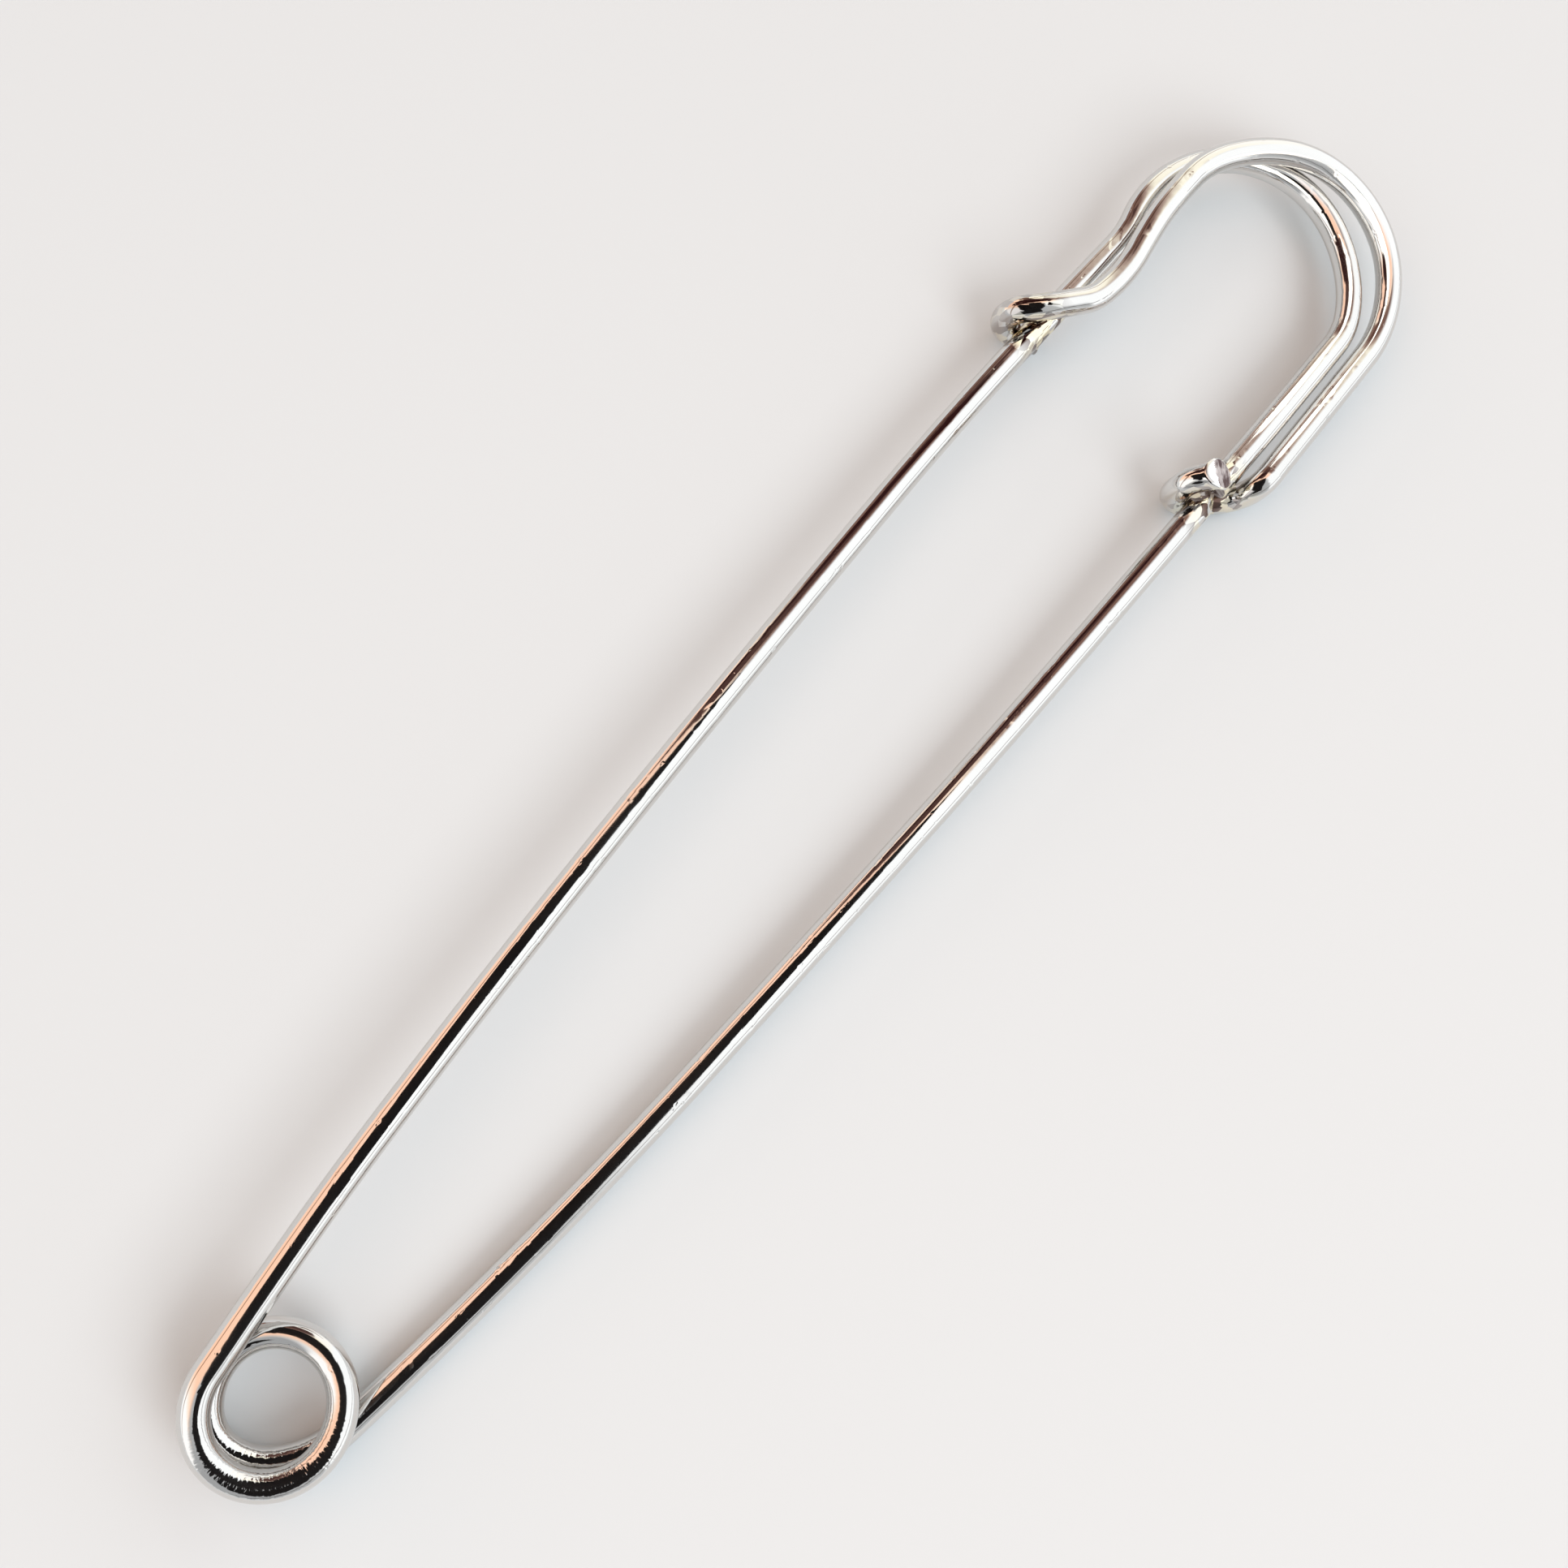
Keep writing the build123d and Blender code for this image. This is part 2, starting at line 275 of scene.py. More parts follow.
bpy.context.scene.view_settings.view_transform = "Standard"
light_tent()
pale_table()
hung_card("black_card", black_card_outline, black_card_colour, card_height)
hung_card("brown_card", brown_card_outline, brown_card_colour, card_height)
hung_card("red_card", red_card_outline, red_card_colour, red_card_height)
hung_card("soft_box", soft_box_outline, soft_box_colour, soft_box_height, tent_strength)
broad_lamp()
near_camera()

# Spring coil
# One and a half open turns of the main wire, wound round a mandrel, falling from the fixed arm
# to the pin arm. The wire is hard drawn steel, two millimetres thick, with bright nickel
# plating. The lower turn winds a little tighter than the upper one.
wire_diameter = 2.0 * mm
turn_gap = 0.66 * mm
seat_gap = 0.12 * mm
coil_radius = 4.25 * mm
coil_stretch = 0.2 * mm
second_turn_inset = 0.7 * mm
coil_exit = 2.0 * mm
wrap_reach = 91.75 * mm
point_setback = 1.45 * mm
arm_offset = 11.36 * mm
pin_offset = 6.6 * mm
arm_heading = 9.0
pin_heading = -5.5
wire_radius = wire_diameter / 2
low_level = wire_radius
middle_level = low_level + wire_diameter + seat_gap
top_level = middle_level + wire_diameter + seat_gap
turn_pitch = wire_diameter + turn_gap
pin_reach = wrap_reach - point_setback
coil_start_angle = 90.0 + arm_heading
coil_end_angle = 630.0 + pin_heading
coil_drop = turn_pitch * (coil_end_angle - coil_start_angle) / 360.0
coil_top_level = low_level + coil_drop
arm_slope = math.degrees(math.atan2(middle_level - coil_top_level, wrap_reach))
pin_slope = math.degrees(math.atan2(middle_level - low_level, pin_reach))
helix_slope = math.degrees(math.atan2(-turn_pitch, 2 * math.pi * coil_radius))
ring_step = 0.22 * mm
ring_sides = 48
fewest_places = 3
straight_share = 1e-6
upright = np.array([0.0, 0.0, 1.0])
coil_turn_angles = (225.0, 315.0, 405.0, 495.0, 585.0)
coil_turn_insets = (-coil_stretch, 0.0, 0.0, second_turn_inset / 2, second_turn_inset)
point_bruise_aside = 0.6 * mm
point_bruise_reach = 2.4 * mm
wrap_bruise_back = 1.2 * mm
wrap_bruise_aside = 0.4 * mm
wrap_bruise_reach = 2.2 * mm
wound_aside = 2.5 * mm
wound_reach = 3.9 * mm
full_within = 0.7
# Places where wires press: the plating there has small bruised flats, and some flats also carry
# painted reflections.
point_bruise = (pin_reach - point_bruise_aside, -pin_offset - point_bruise_aside, middle_level)
wrap_bruise = (wrap_reach - wrap_bruise_back, arm_offset + wrap_bruise_aside, middle_level)
bruise_and_painted_reflection_places = [(point_bruise, point_bruise_reach), (wrap_bruise, wrap_bruise_reach)]
wound_places = [((-wound_aside, -wound_aside, middle_level), wound_reach)]
plating_colour = (0.76, 0.745, 0.725)
plating_roughness = 0.05
drawn_lines = dict(scale=(2600.0, 2600.0, 45.0), Detail=2.0)
drawn_line_depth = 0.0012 * mm
slow_waves = dict(scale=(260.0, 260.0, 210.0), Detail=3.0, Roughness=0.55)
wave_depth = 0.026 * mm
small_dents = dict(scale=(620.0, 620.0, 430.0), Detail=1.0)
dent_edge = (0.60, 0.68)
dent_depth = 0.009 * mm
small_nicks = dict(scale=(1900.0, 1900.0, 900.0), Detail=2.0)
nick_edge = (0.68, 0.74)
nick_depth = 0.007 * mm
fine_wrinkles = dict(scale=(1500.0, 1500.0, 3600.0), Detail=2.0)
wrinkle_depth = 0.036 * mm
small_flats = dict(scale=(2100.0, 2100.0, 1300.0), result="Color")
flat_lean = 0.42
# Painted reflections: some bruised flats get a dark brown colour and some a pale warm yellow,
# standing in for dark and warm surroundings mirrored in them.
painted_dark_reflection_edge = (0.56, 0.60)
painted_dark_reflection_colour = (0.13, 0.08, 0.065)
painted_warm_reflection_edge = (0.44, 0.40)
painted_warm_reflection_colour = (0.86, 0.78, 0.60)
rubbed_patches = dict(scale=(700.0, 700.0, 120.0), Detail=4.0)
rubbed_edge = (0.35, 0.75)
rubbed_dulling = 0.09
rubbed_tone = 0.88


def knot(x, y, z, heading, slope=0.0):
    """A place on a wire's axis, and the unit direction with that heading and slope, in degrees."""
    h, s = math.radians(heading), math.radians(slope)
    run = (math.cos(s) * math.cos(h), math.cos(s) * math.sin(h), math.sin(s))
    return np.array([x, y, z]), np.array(run)


def ahead(place, length):
    """The same wire a straight length further on."""
    return place[0] + place[1] * length, place[1]


def reversed_knot(place):
    """The same place, with the wire run the other way."""
    return place[0], -place[1]


def arc(start, run, end):
    """The arc that leaves start along run and reaches end, as its places and directions.

    With the angle A between run and the chord, its radius is chord / (2 sin A), it turns by 2 A,
    and at the turn t its place is start + radius (sin t run + (1 - cos t) inward).
    """
    chord = end - start
    reach = np.linalg.norm(chord)
    inward = chord - run * chord.dot(run)
    off = np.linalg.norm(inward)
    count = max(fewest_places, int(math.ceil(reach / ring_step)))
    if off < straight_share * reach:
        share = np.linspace(0.0, 1.0, count)[:, None]
        return start + share * chord, np.tile(run, (count, 1))
    inward = inward / off
    radius = reach * reach / (2 * off)
    turn = np.linspace(0.0, 2 * math.atan2(off, chord.dot(run)), count)[:, None]
    places = start + radius * (np.sin(turn) * run + (1 - np.cos(turn)) * inward)
    return places, np.cos(turn) * run + np.sin(turn) * inward


def axis_of(knots):
    """The wire's axis through its knots: two arcs from each knot to the next, as arrays.

    Both arcs have tangents of one length t, which solves |chord - t (run_a + run_b)| = 2 t.
    """
    places, runs = [], []
    for (a, run_a), (b, run_b) in zip(knots, knots[1:]):
        chord, both = b - a, run_a + run_b
        square, along, rest = both.dot(both) - 4, 2 * chord.dot(both), chord.dot(chord)
        reach = 2 * rest / (along + math.sqrt(along * along - 4 * square * rest))
        leave, arrive = a + run_a * reach, b - run_b * reach
        meet = (leave + arrive) / 2
        middle_run = (arrive - leave) / np.linalg.norm(arrive - leave)
        for start, run, end in ((a, run_a, meet), (meet, middle_run, b)):
            found = arc(start, run, end)
            places.append(found[0][:-1])
            runs.append(found[1][:-1])
    places.append(knots[-1][0][None])
    runs.append(knots[-1][1][None])
    return np.concatenate(places), np.concatenate(runs)


def wire_length(places):
    """Length along the axis at each of its places."""
    steps = np.linalg.norm(np.diff(places, axis=0), axis=1)
    return np.concatenate([[0.0], np.cumsum(steps)])


def section_axes(runs, across):
    """Two unit directions square to the wire: across less its part along the run, and a third."""
    first = across - runs * (runs @ across)[:, None]
    first /= np.linalg.norm(first, axis=1)[:, None]
    return first, np.cross(runs, first)


def wire_mesh(name, rings, straightened, finishes, marked=None):
    """A closed tube from rings of points, with the straightened wire's coordinates on its points.

    rings is (number of rings, sides, 3). The first and last rings are closed with a fan to their
    middle. marked says, for each band between two rings and for each side, which finish it takes
    and whether it is shaded flat.
    """
    count, sides = rings.shape[:2]
    middles = np.stack([rings[0].mean(axis=0), rings[-1].mean(axis=0)])
    points = np.concatenate([rings.reshape(-1, 3), middles])
    place = np.concatenate([
        straightened.reshape(-1, 3),
        np.stack([straightened[0].mean(axis=0), straightened[-1].mean(axis=0)]),
    ])
    here = np.arange(sides)
    after = np.roll(here, -1)
    row = np.arange(count - 1)[:, None] * sides
    bands = np.stack([row + here, row + after, row + sides + after, row + sides + here], axis=-1)
    start, end = count * sides, count * sides + 1
    last = (count - 1) * sides
    first_fan = np.stack([after, here, np.full(sides, start)], axis=1)
    last_fan = np.stack([last + here, last + after, np.full(sides, end)], axis=1)
    faces = bands.reshape(-1, 4).tolist() + first_fan.tolist() + last_fan.tolist()
    mesh = bpy.data.meshes.new(name)
    mesh.from_pydata(points.tolist(), [], faces)
    if marked is None:
        marked = np.zeros((count - 1, sides), dtype=int)
    finish = np.concatenate([
        marked.ravel(),
        np.full(sides, marked[0].max()),
        np.full(sides, marked[-1].max()),
    ])
    mesh.polygons.foreach_set("material_index", finish.astype(np.int32))
    smooth = np.concatenate([marked.ravel() == 0, np.zeros(2 * sides, dtype=bool)])
    mesh.polygons.foreach_set("use_smooth", smooth)
    along = mesh.attributes.new("straightened", "FLOAT_VECTOR", "POINT")
    along.data.foreach_set("vector", place.ravel())
    for trait, trait_places in (("bruise_and_painted_reflection", bruise_and_painted_reflection_places), ("wound", wound_places)):
        shown = mesh.attributes.new(trait, "FLOAT", "POINT")
        shown.data.foreach_set("value", nearness(points, trait_places))
    for finish_material in finishes:
        mesh.materials.append(finish_material)
    pairs = np.zeros(2 * len(mesh.edges), dtype=np.int32)
    mesh.edges.foreach_get("vertices", pairs)
    ends = pairs.reshape(-1, 2)
    on_rim = (ends < sides).all(axis=1) | ((ends >= last) & (ends < last + sides)).all(axis=1)
    mesh.edges.foreach_set("use_edge_sharp", on_rim)
    piece = bpy.data.objects.new(name, mesh)
    bpy.context.collection.objects.link(piece)
    return piece


def nearness(points, places):
    """How near each point is to the places, from 1 to 0.

    A place has a middle and a reach. The share is 1 within a part of the reach called
    full_within, and falls evenly to 0 one reach further out.
    """
    near = np.zeros(len(points))
    for middle, reach in places:
        away = np.linalg.norm(points - np.array(middle), axis=1)
        near = np.maximum(near, np.clip(1.0 + full_within - away / reach, 0.0, 1.0))
    return near.astype(np.float32)


def section_points(runs, across, level_at=0):
    """Unit rings round an axis and their angles, with zero pointing up at the ring level_at."""
    first, second = section_axes(runs, across)
    up = upright - runs[level_at] * runs[level_at].dot(upright)
    zero = math.atan2(up.dot(second[level_at]), up.dot(first[level_at]))
    angle = np.linspace(0.0, 2 * math.pi, ring_sides, endpoint=False)
    turned = angle + zero
    out = np.cos(turned)[:, None] * first[:, None] + np.sin(turned)[:, None] * second[:, None]
    return out, angle


def straight_place(angle, length, radius=None):
    """Where each point would be if the wire were pulled straight: round it, and along it.

    angle and length are negative for a piece that is swept against its wire's own direction, so
    that the pattern runs on from piece to piece.
    """
    width = wire_radius if radius is None else radius
    around = np.broadcast_to(width, (len(length), len(angle)))
    return np.stack([
        around * np.cos(angle),
        around * np.sin(angle),
        np.broadcast_to(length[:, None], (len(length), len(angle))),
    ], axis=-1)


class WireSurface(NodeWork):
    """A metal finish whose patterns follow the wire as if it were pulled straight."""

    def __init__(self, name):
        self.material = bpy.data.materials.new(name)
        super().__init__(self.material)
        self.place = self.measured("straightened", "Vector")

    def measured(self, trait, result="Fac"):
        """What each point of the wire's mesh carries under a name."""
        share = self.new("ShaderNodeAttribute")
        share.attribute_name = trait
        return share.outputs[result]

    def pattern(self, kind, scale, result=0, **sizes):
        """A pattern with so many cells to a metre in each direction of the straightened wire."""
        spread = self.new("ShaderNodeMapping")
        spread.inputs["Scale"].default_value = scale
        self.link(self.place, spread.inputs["Vector"])
        texture = self.new(kind)
        texture.inputs["Scale"].default_value = 1.0
        for size, value in sizes.items():
            texture.inputs[size].default_value = value
        self.link(spread.outputs[0], texture.inputs["Vector"])
        return texture.outputs[result]

    def times(self, value, other):
        """The product of two shares."""
        product = self.new("ShaderNodeMath")
        product.operation = "MULTIPLY"
        self.link(value, product.inputs[0])
        self.link(other, product.inputs[1])
        return product.outputs[0]

    def bumped(self, height, depth, before=None):
        """The normal before, bent by a height from 0 to 1 that stands for the depth."""
        bump = self.new("ShaderNodeBump")
        bump.inputs["Strength"].default_value = 1.0
        bump.inputs["Distance"].default_value = depth
        self.link(height, bump.inputs["Height"])
        if before is not None:
            self.link(before, bump.inputs["Normal"])
        return bump.outputs[0]

    def leaned(self, normal, cells, share):
        """A normal leaned by a random amount in each cell: cells less a half, times the share."""
        middle = self.new("ShaderNodeVectorMath")
        middle.operation = "SUBTRACT"
        middle.inputs[1].default_value = (0.5, 0.5, 0.5)
        self.link(cells, middle.inputs[0])
        lean = self.new("ShaderNodeVectorMath")
        lean.operation = "SCALE"
        self.link(middle.outputs[0], lean.inputs[0])
        self.link(share, lean.inputs["Scale"])
        both = self.new("ShaderNodeVectorMath")
        both.operation = "ADD"
        self.link(normal, both.inputs[0])
        self.link(lean.outputs[0], both.inputs[1])
        unit = self.new("ShaderNodeVectorMath")
        unit.operation = "NORMALIZE"
        self.link(both.outputs[0], unit.inputs[0])
        return unit.outputs[0]

    def metal(self, colour, roughness, normal):
        """The finished material, with a colour, a roughness and a normal from other nodes."""
        shader = self.new("ShaderNodeBsdfPrincipled")
        shader.inputs["Metallic"].default_value = 1.0
        self.link(colour, shader.inputs["Base Color"])
        self.link(roughness, shader.inputs["Roughness"])
        self.link(normal, shader.inputs["Normal"])
        output = self.new("ShaderNodeOutputMaterial")
        self.link(shader.outputs[0], output.inputs["Surface"])
        return self.material


def plated_finish(name, dull, scuffed, colour, pressed=1.0):
    """Bright plating over drawn wire.

    Fine drawn lines and slow waves bend the reflections a little, small dents notch them, and
    where wires press on each other the plating is bruised into small flats. Some of these flats
    carry painted reflections, dark brown or pale warm yellow, that stand in for dark and warm
    surroundings mirrored in them. Winding has wrinkled the coil's far side across the wire. Rubbed
    patches are duller and a little darker. dull is the roughness, scuffed how deep the dents are,
    and pressed how much of the bruises and their painted reflections shows.
    """
    wire = WireSurface(name)
    noise = "ShaderNodeTexNoise"
    dents = wire.ranged(wire.pattern(noise, **small_dents), *dent_edge)
    nicks = wire.ranged(wire.pattern(noise, **small_nicks), *nick_edge)
    wrinkles = wire.times(wire.pattern(noise, **fine_wrinkles), wire.measured("wound"))
    flats = wire.pattern("ShaderNodeTexVoronoi", **small_flats)
    rubbed = wire.pattern(noise, **rubbed_patches)
    bruise_and_painted_reflection = wire.ranged(wire.measured("bruise_and_painted_reflection"), 0.0, 1.0, 0.0, pressed)
    normal = wire.bumped(wire.pattern(noise, **drawn_lines), drawn_line_depth)
    normal = wire.bumped(wire.pattern(noise, **slow_waves), wave_depth, normal)
    normal = wire.bumped(dents, -dent_depth * scuffed, normal)
    normal = wire.bumped(nicks, -nick_depth * scuffed, normal)
    normal = wire.bumped(wrinkles, wrinkle_depth, normal)
    normal = wire.leaned(normal, flats, wire.ranged(bruise_and_painted_reflection, 0.0, 1.0, 0.0, flat_lean))
    # Painted reflections: dark brown and warm yellow colour on some of the bruised flats.
    painted_dark_reflection = wire.times(wire.ranged(flats, *painted_dark_reflection_edge), bruise_and_painted_reflection)
    painted_warm_reflection = wire.times(wire.ranged(flats, *painted_warm_reflection_edge), bruise_and_painted_reflection)
    tone = wire.mixed(rubbed, colour, tuple(part * rubbed_tone for part in colour))
    tone = wire.mixed(painted_dark_reflection, tone, painted_dark_reflection_colour)
    tone = wire.mixed(painted_warm_reflection, tone, painted_warm_reflection_colour)
    return wire.metal(tone, wire.ranged(rubbed, *rubbed_edge, dull, dull + rubbed_dulling), normal)


bright_plating = plated_finish("bright_plating", plating_roughness, 1.0, plating_colour)


def plain_wire(name, places, runs, across=upright, level_at=0, start_length=0.0, sense=1):
    """Round wire along an axis, closed flat at both ends, which meet the next pieces."""
    out, angle = section_points(runs, across, level_at)
    rings = places[:, None] + wire_radius * out
    straightened = straight_place(sense * angle, start_length + sense * wire_length(places))
    return wire_mesh(name, rings, straightened, [bright_plating])


def coil_knot(angle, slope, inset=0.0):
    """A knot at an angle of the winding, which falls steadily as it turns."""
    radius = coil_radius - inset
    wound = (angle - coil_start_angle) / (coil_end_angle - coil_start_angle)
    a = math.radians(angle)
    return knot(radius * math.cos(a), radius * math.sin(a), coil_top_level - coil_drop * wound,
                angle + 90.0, slope)


coil_first = coil_knot(coil_start_angle, -arm_slope)
coil_last = ahead(coil_knot(coil_end_angle, pin_slope), coil_exit)
coil_knots = [
    ahead(coil_first, -wire_diameter),
    coil_first,
    *[coil_knot(angle, helix_slope, inset)
      for angle, inset in zip(coil_turn_angles, coil_turn_insets)],
    coil_last,
    ahead(coil_last, wire_diameter),
]
coil_axis = axis_of(coil_knots)
coil_wire = plain_wire("coil_wire", *coil_axis)
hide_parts("coil_spring")
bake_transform(coil_wire)

# Fixed arm
# The main wire from the coil to the wrap, bowed outwards and falling a little. It is drawn
# round wire, bent cold in one gentle bow, and it carries the head.
arm_first_heading = 6.0
arm_middle_heading = 3.7
arm_first_share = 0.175
arm_first_out_share = 0.32
arm_middle_share = 0.572
arm_middle_out_share = 0.752


def arm_level(x):
    """Height of the fixed arm's axis at a distance from the coil."""
    return coil_top_level + (middle_level - coil_top_level) * x / wrap_reach


def arm_knot(share, out_share, heading):
    """A knot on the fixed arm, at shares of its reach and of how far it stands out."""
    x = share * wrap_reach
    y = coil_radius + out_share * (arm_offset - coil_radius)
    return knot(x, y, arm_level(x), heading, arm_slope)


fixed_arm_knots = [
    reversed_knot(coil_knots[0]),
    arm_knot(arm_first_share, arm_first_out_share, arm_first_heading),
    arm_knot(arm_middle_share, arm_middle_out_share, arm_middle_heading),
    knot(wrap_reach, arm_offset, middle_level, 0.0),
]
fixed_arm_axis = axis_of(fixed_arm_knots)
fixed_arm_wire = plain_wire("fixed_arm_wire", *fixed_arm_axis, sense=-1)
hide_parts("fixed_arm")
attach(fixed_arm_wire, "frame")

# Inner bow
# The main wire goes on over a low shoulder, round the head in one bow and back along the inner
# strand, where it is cut square beside the point. The cut's edge is slightly rounded over.
shoulder_run = 8.65 * mm
peak_run = 5.9 * mm
peak_rise = 0.89 * mm
bow_depth = 9.45 * mm
bow_middle_drop = 8.65 * mm
bow_low_setback = 3.5 * mm
bow_low_rise = 2.46 * mm
strand_setback = 8.75 * mm
point_clearance = 0.3 * mm
bow_low_heading = -136.6
strand_heading = 182.0
shoulder_reach = wrap_reach + shoulder_run
peak_reach = shoulder_reach + peak_run
peak_offset = arm_offset + peak_rise
bow_reach = peak_reach + bow_depth
bow_middle_offset = peak_offset - bow_middle_drop
strand_start_reach = bow_reach - strand_setback
strand_run = strand_start_reach - pin_reach - point_clearance
strand_y = -pin_offset + strand_run * math.tan(math.radians(strand_heading - 180.0)) / 2
cut_round = 0.12 * mm
cut_steps = 6
cut_rings = 10
lean_steps = 8
burnished_colour = (0.93, 0.925, 0.92)
burnished_roughness = 0.14
burnished_bruises_and_painted_reflections = 0.15
torn_streaks = dict(scale=(5200.0, 1500.0, 1.0), Detail=3.0)
streak_edge = (0.40, 0.58)
streak_depth = 0.06 * mm
streak_colour = (0.13, 0.085, 0.085)
torn_patches = dict(scale=(1700.0, 1200.0, 1.0), Detail=2.0)
torn_dark_edge = (0.36, 0.56)
torn_rough_edge = (0.3, 0.7)
torn_roughness = (0.34, 0.46)
torn_colours = ((0.74, 0.68, 0.67), (0.44, 0.37, 0.36))


def sheared_finish(name):
    """The torn part of a sheared end: dull bare metal with darker streaks across it."""
    end = WireSurface(name)
    streaks = end.pattern("ShaderNodeTexNoise", **torn_streaks)
    patches = end.pattern("ShaderNodeTexNoise", **torn_patches)
    dark = end.times(end.ranged(streaks, *streak_edge), end.ranged(patches, *torn_dark_edge))
    tone = end.mixed(dark, end.mixed(patches, *torn_colours), streak_colour)
    roughness = end.ranged(patches, *torn_rough_edge, *torn_roughness)
    return end.metal(tone, roughness, end.bumped(streaks, streak_depth))


sheared_plating = sheared_finish("sheared_plating")
burnished_plating = plated_finish("burnished_plating", burnished_roughness, 1.0, burnished_colour,
                                  burnished_bruises_and_painted_reflections)


def end_slide(out, run, radius, cuts):
    """How far along the run a wire's cut end lies at each point round it, and which cut is there.

    Each cut is a plane, by its unit normal n and how far past the end of the axis it crosses it.
    At the offset o from the axis it lies at that distance - (o . n) / (run . n), and the end is
    the lowest of the planes.
    """
    reach = [past - radius * (out @ normal) / run.dot(normal) for normal, past in cuts]
    return np.minimum.reduce(reach), np.argmin(reach, axis=0)


def cut_wire(name, places, runs, across=upright, level_at=0, start_length=0.0, sense=1,
             cuts=None, lean_length=0.0, spread=0.0):
    """Round wire whose last end is cut off and shows, and whose other end meets the next piece.

    The end's rim is rounded over: as the rings near the cut they shrink from the wire's radius
    by the rounding (1 - cos t) and stop short of it by the rounding (1 - sin t), with t from 0
    to a right angle. Smaller rings then lie in the cut itself. Over the lean length the wire's
    level width grows by the share called spread, as a cutter leaves it, with the square of how
    far along it is.
    """
    out, angle = section_points(runs, across, level_at)
    end_out, run, tip = out[-1], runs[-1], places[-1]
    cuts = [(run, 0.0)] if cuts is None else cuts
    length = wire_length(places)
    total = length[-1]
    kept = length < total - max(cut_round, lean_length) - ring_step / 2
    body = places[kept][:, None] + wire_radius * out[kept]
    turn = np.linspace(0.0, math.pi / 2, cut_steps)
    inner = np.linspace(1.0, 0.0, cut_rings + 1)[1:-1]
    share = np.linspace(0.0, 1.0, lean_steps + 1)[1:-1] if lean_length > 0 else np.zeros(0)
    setback = np.concatenate([
        cut_round + (lean_length - cut_round) * (1 - share),
        cut_round * (1 - np.sin(turn)),
        0.0 * inner,
    ])
    edge = wire_radius - cut_round * (1 - np.cos(turn))
    radius = np.concatenate([np.full(len(share), wire_radius), edge, edge[-1] * inner])
    leaning = np.concatenate([share, np.ones(len(turn) + len(inner))])
    level = np.cross(upright, run)
    level = level / np.linalg.norm(level)
    wider = spread * np.outer(end_out @ level, level)
    ring_outs = end_out + (leaning ** 2)[:, None, None] * wider
    slid = np.array([lean * end_slide(ring_out, run, wide, cuts)[0] - back
                     for lean, ring_out, wide, back in zip(leaning, ring_outs, radius, setback)])
    closing = tip + slid[:, :, None] * run + radius[:, None, None] * ring_outs
    rings = np.concatenate([body, closing])
    lengths = np.concatenate([length[kept], total - setback])
    widths = np.concatenate([np.full(kept.sum(), wire_radius), radius])[:, None]
    straightened = straight_place(sense * angle, start_length + sense * lengths, widths)
    marked = np.zeros((len(rings) - 1, ring_sides), dtype=int)
    for k, wide in enumerate(inner, start=len(marked) - len(inner)):
        which = end_slide(ring_outs[-1], run, edge[-1] * wide, cuts)[1]
        marked[k] = 1 + which
    return wire_mesh(name, rings, straightened,
                     [bright_plating, sheared_plating, burnished_plating], marked)


inner_bow_knots = [
    fixed_arm_knots[-1],
    knot(shoulder_reach, arm_offset, middle_level, 0.0),
    knot(peak_reach, peak_offset, middle_level, 0.0),
    knot(bow_reach, bow_middle_offset, middle_level, -90.0),
    knot(bow_reach - bow_low_setback, strand_y + bow_low_rise, middle_level, bow_low_heading),
    knot(strand_start_reach, strand_y, middle_level, strand_heading),
    knot(pin_reach + point_clearance, -pin_offset, middle_level, 180.0),
]
inner_bow_wire = cut_wire("inner_bow_wire", *axis_of(inner_bow_knots), sense=-1,
                          start_length=-wire_length(fixed_arm_axis[0])[-1])
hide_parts("inner_bow")
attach(inner_bow_wire, "frame")

# Pin arm
# The other end of the main wire: a gentle bow, a straight shank and a point ground with four
# flats after the wire was cut. The flats were plated with the rest, so they are only duller.
shank_setback = 4.7 * mm
shank_length = 9.0 * mm
point_length = 2.1 * mm
point_tip_width = 0.3 * mm
pin_shank_heading = 0.6
pin_point_heading = 1.0
pin_middle_heading = -1.0
pin_middle_share = 0.374
pin_middle_out_share = 0.91
point_steps = 24
uncut_share = 0.9999
ground_colour = (0.75, 0.735, 0.715)
ground_roughness = 0.14
ground_scuffs = 1.5
shank_reach = pin_reach - shank_setback

ground_plating = plated_finish("ground_plating", ground_roughness, ground_scuffs, ground_colour)


def pin_level(x):
    """Height of the pin arm's axis, which rises from the table to the hook."""
    return low_level + (middle_level - low_level) * x / pin_reach


shank_aside = shank_setback * math.tan(math.radians((pin_shank_heading + pin_point_heading) / 2))
shank_end = knot(shank_reach, -pin_offset - shank_aside, pin_level(shank_reach),
                 pin_shank_heading, pin_slope)
pin_tip = knot(pin_reach, -pin_offset, middle_level, pin_point_heading, pin_slope)
pin_middle_x = pin_middle_share * pin_reach
pin_middle_y = -coil_radius - pin_middle_out_share * (pin_offset - coil_radius)
pin_arm_knots = [
    coil_knots[-1],
    knot(pin_middle_x, pin_middle_y, pin_level(pin_middle_x), pin_middle_heading, pin_slope),
    ahead(shank_end, -shank_length),
    shank_end,
    ahead(pin_tip, -point_length),
]


